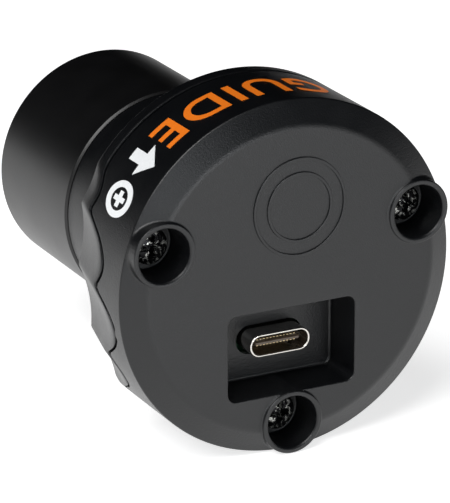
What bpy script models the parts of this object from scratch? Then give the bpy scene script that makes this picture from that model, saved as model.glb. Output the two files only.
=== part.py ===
"""Guide camera: a short round planetary and guide camera with a slip-in nosepiece.

The optical axis is +Y. The nosepiece points along +Y and the rear face with the socket looks
along -Y. The origin is on the optical axis, in the plane of the body's front shoulder.
Two plastic half shells are held together by three long screws from the rear. The nosepiece
screws into a metal ring in the front shell and can be taken off.
"""
import math

import bmesh
import bpy
from mathutils import Matrix, Vector

MM = 0.001                  # every size below is in millimetres, meshes are in metres
GAP = 0.3                   # clearance between neighbouring pieces

# Body
BODY_R = 24.3               # outside of both shells
SHOULDER_Y = 0.0            # front shoulder of the front shell
REAR_Y = -17.5              # flat rear face
REAR_FACE_R = 20.93         # where the flat rear face turns into the rear bevel
BEVEL_Y = -15.84            # where the rear bevel meets the body
WALL = 2.0
BODY_STEPS = 96

# Parting line and finger flutes
PARTING_Y = -2.55           # straight stretches of the parting groove
PARTING_GROOVE = 0.5
RIM_BEHIND_FLUTE = 1.1      # strip between a flute's edge and the parting groove
CUSP_SOFTNESS = 0.9
GRIP_ANGLE = -10.5          # middle of the right grip, the left one is its mirror image
FLUTE_PITCH = 19.0          # degrees between flutes
FLUTE_STARTS = (-3.0, -9.3, -12.6, -9.3, -3.0)     # rear end of each flute on the body, y
FLUTE_R = 18.2
FLUTE_SLOPE = math.radians(12.3)

# Nosepiece and its thread
NECK_R = 15.55
NECK_END_Y = 18.4
NOSE_R = 15.85              # slip-in barrel of 31.7 mm
NOSE_REAR_Y = 18.6
NOSE_CHAMFER = 0.3
NOSE_FRONT_Y = 40.5
NOSE_BORE_R = 14.0
FILTER_THREAD_R = 14.25
THREAD_R = 12.6
THREAD_REAR_Y = 14.0
FLANGE_TO_SENSOR = 17.526
SENSOR_Y = NOSE_REAR_Y - FLANGE_TO_SENSOR

# Case screws
SCREW_CIRCLE_R = 19.85
SCREW_ANGLES = (-90.0, 19.5, 160.5)
WELL_R = 3.6
WELL_FLOOR_Y = -12.2
TUBE_R = 4.4                # tube round each well
TUBE_PROUD = 0.44           # its rim stands this far out of the flat rear face
TUBE_END_Y = -9.7
HEAD_R = 2.5

# Socket recess and socket
RECESS_W, RECESS_H = 18.8, 11.9
RECESS_Z = -9.65
RECESS_FLOOR_Y = -10.9
RECESS_CORNER = 1.2
RECESS_WALL = 0.9
SOCKET_Z = -9.82
SOCKET_W, SOCKET_H = 8.94, 3.16
SOCKET_MOUTH_Y = -14.2
SOCKET_WALL = 0.3

# Boards
MAIN_BOARD_Y = (-7.4, -5.8)
MAIN_BOARD_R = 18.9
SENSOR_BOARD_Y = (-2.9, -1.3)
SENSOR_BOARD_R = 13.4
POST_OFFSET = 11.9
SENSOR_SCREW_R = 12.4


def clear_scene():
    for obj in list(bpy.data.objects):
        bpy.data.objects.remove(obj, do_unlink=True)


def new_collection(name):
    collection = bpy.data.collections.new(name)
    bpy.context.scene.collection.children.link(collection)
    return collection


clear_scene()
PARTS = new_collection("guide_camera")
CUTTERS = new_collection("guide_camera_tools")


def finish(name, colour, roughness, metallic=0.0):
    """One Principled material for one kind of piece."""
    look = bpy.data.materials.new(name)
    look.use_nodes = True
    shader = look.node_tree.nodes["Principled BSDF"]
    shader.inputs["Base Color"].default_value = (*colour, 1.0)
    shader.inputs["Roughness"].default_value = roughness
    shader.inputs["Metallic"].default_value = metallic
    return look


SHELL_PLASTIC = finish("shell_plastic", (0.040, 0.041, 0.043), 0.45)
BLACK_ALUMINIUM = finish("black_aluminium", (0.012, 0.012, 0.013), 0.35, 0.6)
SCREW_STEEL = finish("black_steel", (0.03, 0.03, 0.03), 0.25, 1.0)
BRIGHT_STEEL = finish("bright_steel", (0.62, 0.62, 0.60), 0.25, 1.0)
BRASS = finish("brass", (0.70, 0.50, 0.22), 0.30, 1.0)
BOARD_GREEN = finish("board_green", (0.02, 0.09, 0.04), 0.40)
CHIP_BLACK = finish("chip_black", (0.015, 0.015, 0.016), 0.50)
CERAMIC = finish("sensor_ceramic", (0.30, 0.29, 0.27), 0.60)
SILICON = finish("sensor_silicon", (0.03, 0.05, 0.06), 0.15, 0.3)
GLASS = finish("filter_glass", (0.55, 0.75, 0.80), 0.05)
RUBBER = finish("black_rubber", (0.010, 0.010, 0.010), 0.80)
GOLD = finish("gold_contacts", (0.80, 0.58, 0.25), 0.25, 1.0)


def add_object(name, mesh, look=None):
    """Put a mesh in the scene: a part if it has a finish, a hidden tool if it has none."""
    obj = bpy.data.objects.new(name, mesh)
    if look is None:
        CUTTERS.objects.link(obj)
        obj.hide_render = True
        obj.display_type = "WIRE"
    else:
        PARTS.objects.link(obj)
        mesh.materials.append(look)
    return obj


def smooth(obj):
    obj.data.shade_smooth()
    obj.data.set_sharp_from_angle(angle=math.radians(30.0))
    return obj


def from_bmesh(name, bm, look):
    mesh = bpy.data.meshes.new(name)
    bm.to_mesh(mesh)
    bm.free()
    return smooth(add_object(name, mesh, look))


def turned(name, profile, look=None, steps=BODY_STEPS, closed=True):
    """Piece turned about the optical axis.

    profile is a list of (radius, y). It runs rearwards along the outside. A closed profile is
    a ring; an open one starts and ends on the axis.
    """
    mesh = bpy.data.meshes.new(name)
    points = [(radius * MM, y * MM, 0.0) for radius, y in profile]
    edges = [(i, i + 1) for i in range(len(points) - 1)]
    if closed:
        edges.append((len(points) - 1, 0))
    mesh.from_pydata(points, edges, [])
    obj = add_object(name, mesh, look)
    screw = obj.modifiers.new("turn", "SCREW")
    screw.axis = "Y"
    screw.steps = steps
    screw.render_steps = steps
    screw.use_merge_vertices = True
    screw.merge_threshold = 0.00001
    return obj


def freeze(obj):
    """Turn an object's modifiers into its mesh, so that its vertices can be moved."""
    view = bpy.context.evaluated_depsgraph_get()
    view.update()
    mesh = bpy.data.meshes.new_from_object(obj.evaluated_get(view))
    obj.modifiers.clear()
    obj.data = mesh
    return smooth(obj)


def rod(name, radius, rear_y, front_y, look=None, at=(0.0, 0.0), segments=24):
    """Round bar along the optical axis between two y values, at (x, z)."""
    bm = bmesh.new()
    place = (Matrix.Translation(Vector((at[0], (rear_y + front_y) / 2, at[1])) * MM)
             @ Matrix.Rotation(math.radians(-90.0), 4, "X"))
    bmesh.ops.create_cone(bm, cap_ends=True, segments=segments, radius1=radius * MM,
                          radius2=radius * MM, depth=(front_y - rear_y) * MM, matrix=place)
    return from_bmesh(name, bm, look)


def block(name, width, height, rear_y, front_y, look=None, at=(0.0, 0.0), corner=0.0, segments=4):
    """Box with its width along X, its height along Z, and corners rounded about the optical axis."""
    bm = bmesh.new()
    place = (Matrix.Translation(Vector((at[0], (rear_y + front_y) / 2, at[1])) * MM)
             @ Matrix.Diagonal((width * MM, (front_y - rear_y) * MM, height * MM, 1.0)))
    bmesh.ops.create_cube(bm, size=1.0, matrix=place)
    if corner:
        along = [e for e in bm.edges
                 if abs(e.verts[0].co.y - e.verts[1].co.y) > (front_y - rear_y) * MM * 0.5]
        bmesh.ops.bevel(bm, geom=along, offset=corner * MM, segments=segments, profile=0.5,
                        affect="EDGES")
    return from_bmesh(name, bm, look)


def combine(obj, tool, operation):
    boolean = obj.modifiers.new(f"{operation.lower()}_{tool.name}", "BOOLEAN")
    boolean.operation = operation
    boolean.solver = "EXACT"
    boolean.object = tool
    return obj


def cut(obj, *tools):
    for tool in tools:
        combine(obj, tool, "DIFFERENCE")
    return obj


def join(obj, *tools):
    for tool in tools:
        combine(obj, tool, "UNION")
    return obj


def on_circle(radius, degrees):
    """(x, z) of a point on a circle about the optical axis, 0 degrees at +X, 90 at +Z."""
    angle = math.radians(degrees)
    return radius * math.cos(angle), radius * math.sin(angle)


# ---------------------------------------------------------------- grips and parting line
def flutes():
    """(angle, start y) of every finger flute, on both sides of the body."""
    for number, start_y in enumerate(FLUTE_STARTS):
        angle = GRIP_ANGLE + (number - 2) * FLUTE_PITCH
        yield angle, start_y
        yield 180.0 - angle, start_y


def flute_edge_y(angle, flute_angle, start_y):
    """Where a flute's edge crosses the body's outside at an angle, or None beyond its reach."""
    offset = math.radians((angle - flute_angle + 180.0) % 360.0 - 180.0)
    side = BODY_R * math.sin(offset)
    if abs(offset) > math.radians(35.0) or abs(side) > FLUTE_R:
        return None
    rise = BODY_R * (1.0 - math.cos(offset)) + FLUTE_R - math.sqrt(FLUTE_R ** 2 - side ** 2)
    return start_y + rise / math.tan(FLUTE_SLOPE)


def parting_y(angle):
    """The middle of the parting groove: straight, but following the flutes round the grips."""
    total = math.exp(-PARTING_Y / CUSP_SOFTNESS)
    for flute_angle, start_y in flutes():
        edge_y = flute_edge_y(angle, flute_angle, start_y)
        if edge_y is not None:
            total += math.exp(-(edge_y - RIM_BEHIND_FLUTE) / CUSP_SOFTNESS)
    return -CUSP_SOFTNESS * math.log(total)


def follow_parting(obj, offset):
    """Move the ring of vertices that lies at PARTING_Y onto the waved parting line."""
    for vertex in obj.data.vertices:
        x, y, z = vertex.co / MM
        if abs(y - PARTING_Y) < 0.01:
            angle = math.degrees(math.atan2(z, x))
            vertex.co.y = (parting_y(angle) + offset) * MM


def flute_cutter(number, angle, start_y):
    """Inclined round bar that scoops one flute out of the front shell's corner."""
    outward = Vector((math.cos(math.radians(angle)), 0.0, math.sin(math.radians(angle))))
    forward = Vector((0.0, 1.0, 0.0))
    along = forward * math.cos(FLUTE_SLOPE) - outward * math.sin(FLUTE_SLOPE)
    away = outward * math.cos(FLUTE_SLOPE) + forward * math.sin(FLUTE_SLOPE)
    behind = 6.0
    ahead = (SHOULDER_Y + 1.0 - start_y) / math.cos(FLUTE_SLOPE)
    start = outward * BODY_R + forward * start_y + away * FLUTE_R
    middle = start + along * (ahead - behind) / 2
    place = Matrix.Translation(middle * MM) @ along.to_track_quat("Z", "X").to_matrix().to_4x4()
    bm = bmesh.new()
    bmesh.ops.create_cone(bm, cap_ends=True, segments=48, radius1=FLUTE_R * MM,
                          radius2=FLUTE_R * MM, depth=(ahead + behind) * MM, matrix=place)
    return from_bmesh(f"flute_cutter_{number}", bm, None)


# ---------------------------------------------------------------- shells
def make_rear_shell():
    """Cup with the rear face, the socket recess, three screw wells and the waved front edge."""
    inside_y = REAR_Y + WALL
    inside_r = BODY_R - WALL
    shell = freeze(turned("rear_shell", [
        (0.0, inside_y), (inside_r, inside_y), (inside_r, PARTING_Y), (BODY_R, PARTING_Y),
        (BODY_R, BEVEL_Y), (REAR_FACE_R, REAR_Y), (0.0, REAR_Y)], SHELL_PLASTIC, closed=False))
    follow_parting(shell, -PARTING_GROOVE / 2)
    join(shell, block("recess_walls", RECESS_W + 2 * RECESS_WALL, RECESS_H + 2 * RECESS_WALL,
                      REAR_Y + 1.0, RECESS_FLOOR_Y + 1.2, at=(0.0, RECESS_Z), corner=1.0))
    cut(shell, block("recess_cutter", RECESS_W, RECESS_H, REAR_Y - 2.0, RECESS_FLOOR_Y,
                     at=(0.0, RECESS_Z), corner=RECESS_CORNER))
    for number, angle in enumerate(SCREW_ANGLES, 1):
        at = on_circle(SCREW_CIRCLE_R, angle)
        join(shell, rod(f"well_tube_{number}", TUBE_R, REAR_Y - TUBE_PROUD, TUBE_END_Y, at=at,
                        segments=32))
        cut(shell, rod(f"well_cutter_{number}", WELL_R, REAR_Y - 2.0, WELL_FLOOR_Y, at=at),
            rod(f"screw_hole_cutter_{number}", 1.6, WELL_FLOOR_Y - 1.0, TUBE_END_Y + 1.0, at=at,
                segments=16))
    cut(shell, block("socket_hole_cutter", 9.8, 4.1, RECESS_FLOOR_Y - 1.0, TUBE_END_Y + 1.0,
                     at=(0.0, SOCKET_Z - 0.2), corner=2.0, segments=6))
    return shell


def make_front_shell():
    """Shoulder with the finger flutes, neck for the thread ring, and the wall inside the rear shell."""
    spigot_r = BODY_R - WALL - GAP
    cavity_r = 19.8
    shell = freeze(turned("front_shell", [
        (NECK_R, NECK_END_Y), (NECK_R, SHOULDER_Y), (BODY_R, SHOULDER_Y), (BODY_R, PARTING_Y),
        (spigot_r, PARTING_Y), (spigot_r, -14.9), (cavity_r, -14.9), (cavity_r, -2.0),
        (13.8, -2.0), (13.8, -1.0), (10.9, -1.0), (10.9, 7.2), (9.8, 7.2), (9.8, 8.2),
        (12.3, 8.2), (12.3, 13.3), (14.2, 13.3), (14.2, NECK_END_Y)], SHELL_PLASTIC))
    follow_parting(shell, PARTING_GROOVE / 2)
    inside_spigot = rod("boss_limit", spigot_r - 0.1, -20.0, 5.0, segments=96)
    for number, angle in enumerate(SCREW_ANGLES, 1):
        at = on_circle(SCREW_CIRCLE_R, angle)
        screw_boss = rod(f"screw_boss_{number}", 3.0, TUBE_END_Y + GAP, -1.0, at=at)
        cut(shell, rod(f"tube_clearance_{number}", TUBE_R + GAP, -16.0, TUBE_END_Y + GAP, at=at))
        join(shell, combine(screw_boss, inside_spigot, "INTERSECT"))
        cut(shell, rod(f"screw_pilot_{number}", 1.45, TUBE_END_Y - 1.0, -2.6, at=at, segments=16))
    for number, (x, z) in enumerate(post_places(), 1):
        join(shell, rod(f"board_post_{number}", 2.2, MAIN_BOARD_Y[1] + GAP, -1.0, at=(x, z),
                        segments=16))
        cut(shell, rod(f"post_pilot_{number}", 1.1, MAIN_BOARD_Y[1] - 1.0, -2.6, at=(x, z),
                       segments=12))
    for number in range(3):
        at = on_circle(SENSOR_SCREW_R, 30.0 + 120.0 * number)
        cut(shell, rod(f"sensor_pilot_{number + 1}", 1.0, -2.0, 1.5, at=at, segments=12))
    for number, (angle, start_y) in enumerate(flutes(), 1):
        cut(shell, flute_cutter(number, angle, start_y))
    return shell


def post_places():
    """(x, z) of the four posts that carry the main board."""
    return [(sx * POST_OFFSET, sz * POST_OFFSET) for sx in (1, -1) for sz in (1, -1)]


# ---------------------------------------------------------------- screws
def make_cross_screw(name, at, head_r, head_y, head_h, shank_r, tip_y, look, steps=12):
    """Pan head screw with a cross recess, its head towards the rear."""
    under_y = head_y + head_h
    screw = turned(name, [
        (0.0, tip_y), (shank_r, tip_y), (shank_r, under_y), (head_r, under_y),
        (head_r, head_y + head_h * 0.45), (head_r * 0.86, head_y + head_h * 0.12),
        (head_r * 0.55, head_y), (0.0, head_y)], look, steps=steps, closed=False)
    freeze(screw)
    screw.location = Vector((at[0], 0.0, at[1])) * MM
    slot = head_r * 0.28
    deep = head_y + head_h * 0.62
    for turn in (0, 1):
        size = (head_r * 1.15, slot) if turn else (slot, head_r * 1.15)
        cut(screw, block(f"{name}_slot_{turn + 1}", *size, head_y - 1.0, deep, at=at))
    return screw


def make_screws():
    for number, angle in enumerate(SCREW_ANGLES, 1):
        head_h = 1.7
        make_cross_screw(f"case_screw_{number}", on_circle(SCREW_CIRCLE_R, angle), HEAD_R,
                         WELL_FLOOR_Y - GAP - head_h, head_h, 1.2, -3.0, SCREW_STEEL,
                         steps=20)
    for number, at in enumerate(post_places(), 1):
        head_h = 1.1
        make_cross_screw(f"board_screw_{number}", at, 1.8, MAIN_BOARD_Y[0] - GAP - head_h, head_h,
                         0.85, -3.2, BRIGHT_STEEL)
    for number in range(3):
        head_h = 0.7
        make_cross_screw(f"sensor_screw_{number + 1}",
                         on_circle(SENSOR_SCREW_R, 30.0 + 120.0 * number), 1.3,
                         SENSOR_BOARD_Y[0] - GAP - head_h, head_h, 0.7, 0.9, BRIGHT_STEEL)


# ---------------------------------------------------------------- nosepiece and thread
def ring(name, outer_r, inner_r, rear_y, front_y, look, steps=40):
    return freeze(turned(name, [(outer_r, front_y), (outer_r, rear_y), (inner_r, rear_y),
                                (inner_r, front_y)], look, steps=steps))


def make_nosepiece():
    """Slip-in barrel with a male thread at the rear and a filter thread at the front."""
    freeze(turned("nosepiece", [
        (NOSE_R - 0.4, NOSE_FRONT_Y), (NOSE_R, NOSE_FRONT_Y - 0.4),
        (NOSE_R, NOSE_REAR_Y + NOSE_CHAMFER), (NOSE_R - NOSE_CHAMFER, NOSE_REAR_Y),
        (THREAD_R, NOSE_REAR_Y), (THREAD_R, THREAD_REAR_Y),
        (11.3, THREAD_REAR_Y), (11.3, 21.6), (NOSE_BORE_R, 21.6), (NOSE_BORE_R, 36.0),
        (FILTER_THREAD_R, 36.3), (FILTER_THREAD_R, NOSE_FRONT_Y - 0.3),
        (FILTER_THREAD_R + 0.3, NOSE_FRONT_Y)], BLACK_ALUMINIUM, steps=64))
    ring("spacer_ring", 14.0, 12.85, 17.8, 18.3, BLACK_ALUMINIUM)
    ring("thread_ring", 14.0, 12.8, 13.5, 17.6, BRASS)


def make_window():
    """Infrared-cut window on its gasket, held by a slotted ring."""
    ring("window_gasket", 11.9, 10.1, 8.4, 8.8, RUBBER)
    rod("window", 11.9, 9.0, 10.5, GLASS, segments=40)
    retainer = ring("window_retainer", 12.1, 10.4, 10.8, 12.6, BLACK_ALUMINIUM)
    cut(retainer, block("spanner_slots", 30.0, 1.4, 12.0, 14.0))


# ---------------------------------------------------------------- sensor
def make_sensor():
    """Image sensor on its round board, with its cover glass and a light mask."""
    package = block("sensor_package", 16.4, 12.6, -1.0, SENSOR_Y + 0.3, CERAMIC, corner=0.6)
    cut(package, block("sensor_cavity", 14.2, 9.8, SENSOR_Y - 0.5, SENSOR_Y + 2.0))
    block("sensor_die", 13.2, 8.8, SENSOR_Y - 0.4, SENSOR_Y, SILICON)
    block("sensor_glass", 15.4, 11.6, SENSOR_Y + 0.5, SENSOR_Y + 1.0, GLASS, corner=0.5)
    mask = rod("sensor_mask", 10.5, SENSOR_Y + 1.25, SENSOR_Y + 1.85, RUBBER, segments=32)
    cut(mask, block("mask_opening", 13.9, 9.5, SENSOR_Y + 0.5, SENSOR_Y + 3.0, corner=0.5))
    board = rod("sensor_board", SENSOR_BOARD_R, *SENSOR_BOARD_Y, BOARD_GREEN, segments=40)
    for number in range(3):
        at = on_circle(SENSOR_SCREW_R, 30.0 + 120.0 * number)
        cut(board, rod(f"sensor_board_hole_{number + 1}", 0.95, -4.0, 0.0, at=at, segments=12))


# ---------------------------------------------------------------- main board
def make_main_board():
    """Round board with the socket, the controller and its helpers, on four posts."""
    board = rod("main_board", MAIN_BOARD_R, *MAIN_BOARD_Y, BOARD_GREEN, segments=48)
    for number, angle in enumerate(SCREW_ANGLES, 1):
        cut(board, rod(f"board_notch_{number}", 3.4, -9.0, -4.0,
                       at=on_circle(SCREW_CIRCLE_R, angle), segments=16))
    for number, at in enumerate(post_places(), 1):
        cut(board, rod(f"board_hole_{number}", 1.15, -9.0, -4.0, at=at, segments=12))
    rear_side = MAIN_BOARD_Y[0] - 0.2
    for name, width, height, thick, at in (
            ("controller_chip", 10.0, 10.0, 1.3, (0.0, 6.2)),
            ("memory_chip", 7.0, 8.0, 1.0, (-9.6, 2.6)),
            ("flash_chip", 5.0, 4.0, 1.2, (0.0, 14.6)),
            ("regulator_chip", 3.2, 3.2, 0.9, (8.0, 0.4))):
        block(name, width, height, rear_side - thick, rear_side, CHIP_BLACK, at=at)
    block("crystal_can", 3.2, 2.5, rear_side - 0.8, rear_side, BRIGHT_STEEL, at=(8.2, 9.6),
          corner=0.4)
    block("power_inductor", 4.0, 4.0, rear_side - 2.0, rear_side, CHIP_BLACK, at=(11.4, 4.6),
          corner=0.8)
    block("link_socket", 15.0, 4.2, MAIN_BOARD_Y[1] + 0.2, -4.5, CHIP_BLACK, at=(0.0, 0.0))
    block("link_plug", 13.6, 3.4, -4.2, SENSOR_BOARD_Y[0] - 0.2, CHIP_BLACK, at=(0.0, 0.0))


def contact_comb(name, z):
    """Twelve contact fingers on one strip, lying on a face of the socket's tongue."""
    fingers, pitch, width, thick = 12, 0.5, 0.26, 0.08
    strip_y, root_y, tip_y = -9.4, -9.8, -12.9
    half = (fingers - 1) * pitch / 2 + width / 2
    outline = [(half, strip_y), (-half, strip_y), (-half, root_y)]
    for number in range(fingers):
        left = -half + number * pitch
        outline += [(left, tip_y), (left + width, tip_y), (left + width, root_y)]
        if number < fingers - 1:
            outline.append((left + pitch, root_y))
    curve = bpy.data.curves.new(name, "CURVE")
    curve.dimensions = "2D"
    curve.fill_mode = "BOTH"
    curve.extrude = thick / 2 * MM
    spline = curve.splines.new("POLY")
    clean = [p for i, p in enumerate(outline) if i == 0 or p != outline[i - 1]]
    spline.points.add(len(clean) - 1)
    for point, (x, y) in zip(spline.points, clean):
        point.co = (x * MM, y * MM, 0.0, 1.0)
    spline.use_cyclic_u = True
    strip = bpy.data.objects.new(name, curve)
    strip.location = (0.0, 0.0, z * MM)
    PARTS.objects.link(strip)
    curve.materials.append(GOLD)


def make_socket():
    """Upright USB-C socket: drawn steel shell, plastic tongue and two rows of contacts."""
    at = (0.0, SOCKET_Z)
    foot_y = MAIN_BOARD_Y[0] - 0.2
    shell = block("usb_shell", SOCKET_W, SOCKET_H, SOCKET_MOUTH_Y, foot_y, BRIGHT_STEEL, at=at,
                  corner=SOCKET_H * 0.49, segments=8)
    inner_h = SOCKET_H - 2 * SOCKET_WALL
    cut(shell, block("socket_bore", SOCKET_W - 2 * SOCKET_WALL, inner_h, SOCKET_MOUTH_Y - 1.0,
                     foot_y + 1.0, at=at, corner=inner_h * 0.49, segments=8))
    tongue = block("usb_tongue", 6.7, 0.6, SOCKET_MOUTH_Y + 0.8, foot_y - 0.1, CHIP_BLACK, at=at)
    join(tongue, block("tongue_base", 7.9, 2.2, foot_y - 1.3, foot_y - 0.1, at=at, corner=1.0))
    for name, side in (("usb_contacts_upper", 1), ("usb_contacts_lower", -1)):
        contact_comb(name, SOCKET_Z + side * 0.42)


make_rear_shell()
make_front_shell()
make_screws()
make_nosepiece()
make_window()
make_sensor()
make_main_board()
make_socket()
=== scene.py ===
"""Looks of the guide camera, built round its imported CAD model.

Millimetres are used in the numbers below and turned into metres when a mesh is made. The optical
axis is +Y, the nosepiece points along +Y, and the rear face with the socket looks along -Y.
"""
import math

import bmesh
import bpy
import numpy as np
from mathutils import Matrix, Vector


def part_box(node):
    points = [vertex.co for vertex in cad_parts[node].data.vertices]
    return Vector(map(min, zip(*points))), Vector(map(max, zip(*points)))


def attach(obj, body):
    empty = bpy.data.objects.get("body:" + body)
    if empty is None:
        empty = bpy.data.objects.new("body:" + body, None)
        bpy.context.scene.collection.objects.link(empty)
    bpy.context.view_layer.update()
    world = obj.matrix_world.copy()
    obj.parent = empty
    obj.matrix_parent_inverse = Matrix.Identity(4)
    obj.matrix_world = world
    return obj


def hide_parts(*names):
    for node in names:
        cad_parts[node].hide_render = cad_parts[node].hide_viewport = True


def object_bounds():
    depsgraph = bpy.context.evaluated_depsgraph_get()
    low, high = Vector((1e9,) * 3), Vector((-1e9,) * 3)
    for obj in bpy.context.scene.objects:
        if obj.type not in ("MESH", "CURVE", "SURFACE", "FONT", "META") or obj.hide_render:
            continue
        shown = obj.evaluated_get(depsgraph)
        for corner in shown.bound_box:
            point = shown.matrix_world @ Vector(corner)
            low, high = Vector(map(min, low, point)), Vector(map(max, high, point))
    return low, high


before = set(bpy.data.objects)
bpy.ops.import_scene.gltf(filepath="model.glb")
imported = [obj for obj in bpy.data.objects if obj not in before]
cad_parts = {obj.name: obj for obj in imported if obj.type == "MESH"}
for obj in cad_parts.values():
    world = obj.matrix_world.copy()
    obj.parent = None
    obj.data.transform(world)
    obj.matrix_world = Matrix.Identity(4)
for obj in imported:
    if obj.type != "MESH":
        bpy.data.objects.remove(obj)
cad_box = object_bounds()
MM = 0.001


# ---------------------------------------------------------------- camera and studio
# The camera looks down at the rear face from the left, with a long lens. The studio is a plain pale
# floor, dark above the horizon, with three soft boxes: one by the lens, one overhead on the left
# and a narrow one low on the right.
VIEW_AZIMUTH, VIEW_HEIGHT = math.radians(27.31), math.radians(19.99)
VIEW_DISTANCE = 486.0
VIEW_AIM = Vector((0.0, 1.7, -2.17))
LENS = 257.65

camera = bpy.data.objects.new("camera", bpy.data.cameras.new("camera"))
bpy.context.scene.collection.objects.link(camera)
bpy.context.scene.camera = camera
looking = Vector((math.sin(VIEW_AZIMUTH) * math.cos(VIEW_HEIGHT),
                  math.cos(VIEW_AZIMUTH) * math.cos(VIEW_HEIGHT), -math.sin(VIEW_HEIGHT)))
camera.location = (VIEW_AIM - looking * VIEW_DISTANCE) * MM
camera.rotation_euler = looking.to_track_quat("-Z", "Y").to_euler()
camera.data.lens = LENS
camera.data.clip_start, camera.data.clip_end = 0.01, 50.0
bpy.context.scene.view_settings.view_transform = "Standard"


class Value:
    """A node's output socket. Sums on it add Math nodes to the same tree."""

    def __init__(self, tree, socket):
        self.tree, self.socket = tree, socket

    def sum(self, operation, first, second):
        return add_node(self.tree, "Math", {"operation": operation}, {0: first, 1: second})

    def __add__(self, other):
        return self.sum("ADD", self, other)

    def __radd__(self, other):
        return self.sum("ADD", other, self)

    def __mul__(self, other):
        return self.sum("MULTIPLY", self, other)

    def __rmul__(self, other):
        return self.sum("MULTIPLY", other, self)

    def __gt__(self, other):
        return self.sum("GREATER_THAN", self, other)


def add_node(tree, kind, settings, inputs, output=0):
    """Any node: its settings first, then the values or links of its sockets."""
    node = tree.nodes.new("ShaderNode" + kind)
    for name, value in settings.items():
        setattr(node, name, value)
    for name, value in inputs.items():
        if isinstance(value, Value):
            tree.links.new(value.socket, node.inputs[name])
        else:
            node.inputs[name].default_value = value
    return Value(tree, node.outputs[output])


studio = bpy.data.worlds.new("studio")
studio.use_nodes = True
bpy.context.scene.world = studio
studio.node_tree.nodes.clear()
seen = add_node(studio.node_tree, "LightPath", {}, {}, "Is Camera Ray")
sky = add_node(studio.node_tree, "Background", {}, {"Color": (1, 1, 1, 1),
                                                    "Strength": seen})
world_output = studio.node_tree.nodes.new("ShaderNodeOutputWorld")
studio.node_tree.links.new(sky.socket, world_output.inputs["Surface"])

FLOOR_HALF, FLOOR_GAP = 4000.0, 0.05
FLOOR_Z = cad_box[0].z / MM - FLOOR_GAP
FLOOR_BASE, FLOOR_GLOW = 0.86, 0.72
floor_mesh = bpy.data.meshes.new("floor")
floor_mesh.from_pydata([(sx * FLOOR_HALF * MM, sy * FLOOR_HALF * MM, FLOOR_Z * MM)
                        for sx, sy in ((-1, -1), (1, -1), (1, 1), (-1, 1))], [], [(0, 1, 2, 3)])
floor = bpy.data.objects.new("floor", floor_mesh)
bpy.context.scene.collection.objects.link(floor)


def pale_floor():
    """Even matt white with a little glow of its own."""
    look = bpy.data.materials.new("pale_floor")
    look.use_nodes = True
    shader = look.node_tree.nodes["Principled BSDF"]
    shader.inputs["Base Color"].default_value = (FLOOR_BASE,) * 3 + (1,)
    shader.inputs["Roughness"].default_value = 0.9
    shader.inputs["Specular IOR Level"].default_value = 0.0
    shader.inputs["Emission Color"].default_value = (1, 1, 1, 1)
    shader.inputs["Emission Strength"].default_value = FLOOR_GLOW
    return look


floor_mesh.materials.append(pale_floor())


def soft_box(name, towards, distance, width, height, radiance, colour=(1, 1, 1)):
    """Rectangular soft box that faces the object; radiance is how bright its face looks."""
    light = bpy.data.lights.new(name, "AREA")
    light.shape = "RECTANGLE"
    light.size, light.size_y = width, height
    light.energy = radiance * math.pi * width * height
    light.color = colour
    obj = bpy.data.objects.new(name, light)
    bpy.context.scene.collection.objects.link(obj)
    direction = Vector(towards).normalized()
    obj.location = direction * distance
    obj.rotation_euler = direction.to_track_quat("Z", "Y").to_euler()
    obj.visible_camera = False


soft_box("box_by_lens", (-0.34, -0.91, 0.32), 0.9, 0.50, 0.34, 2.4, (0.90, 0.95, 1.0))
soft_box("box_overhead", (-0.52, -0.34, 0.78), 0.8, 0.55, 0.55, 6.5)
soft_box("strip_low", (0.15, -0.98, 0.01), 0.6, 0.16, 0.035, 34.0, (0.94, 0.97, 1.0))


# ---------------------------------------------------------------- rear shell
# Moulded rear half in black glass-filled nylon with a fine spark-eroded grain. A shallow cup with
# a bevelled flat face, a deep recess for the plug and three tubes for the long case screws.
rear_low, rear_high = (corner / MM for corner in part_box("rear_shell"))
BODY_R = rear_high.z
RIM_Y = rear_low.y                          # rims of the screw tubes
REAR_Y = RIM_Y + 0.44
BEVEL_FROM_R, BEVEL_TO_Y = 20.93, -15.84
WALL = 2.0
PARTING_Y, PARTING_GROOVE = -2.55, 0.5
BODY_STEPS = 288


def satin_plastic():
    """Near-black moulded plastic: dull sparkle of the mould's grain over a faint flow mottle."""
    look = bpy.data.materials.new("satin_plastic")
    look.use_nodes = True
    tree = look.node_tree
    place = add_node(tree, "TexCoord", {}, {}, "Object")
    grain = add_node(tree, "TexNoise", {}, {"Vector": place, "Scale": 5200.0, "Detail": 2.0,
                                            "Roughness": 0.7})
    pits = add_node(tree, "TexVoronoi", {}, {"Vector": place, "Scale": 3600.0})
    mottle = add_node(tree, "TexNoise", {}, {"Vector": place, "Scale": 260.0, "Detail": 3.0})
    shader = tree.nodes["Principled BSDF"]
    tone = add_node(tree, "Mix", {"data_type": "RGBA"},
                    {0: mottle, 6: (0.0009, 0.0012, 0.0018, 1), 7: (0.0024, 0.0028, 0.0036, 1)}, 2)
    height = grain * 0.7 + pits * 0.3
    bump = add_node(tree, "Bump", {}, {"Height": height, "Strength": 0.7, "Distance": 0.00006})
    tree.links.new(tone.socket, shader.inputs["Base Color"])
    tree.links.new((0.33 + mottle * 0.10).socket, shader.inputs["Roughness"])
    tree.links.new(bump.socket, shader.inputs["Normal"])
    shader.inputs["IOR"].default_value = 1.5
    return look


SHELL_PLASTIC = satin_plastic()


def soften(obj, sharp=32.0):
    obj.data.shade_smooth()
    obj.data.set_sharp_from_angle(angle=math.radians(sharp))
    return obj


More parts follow.
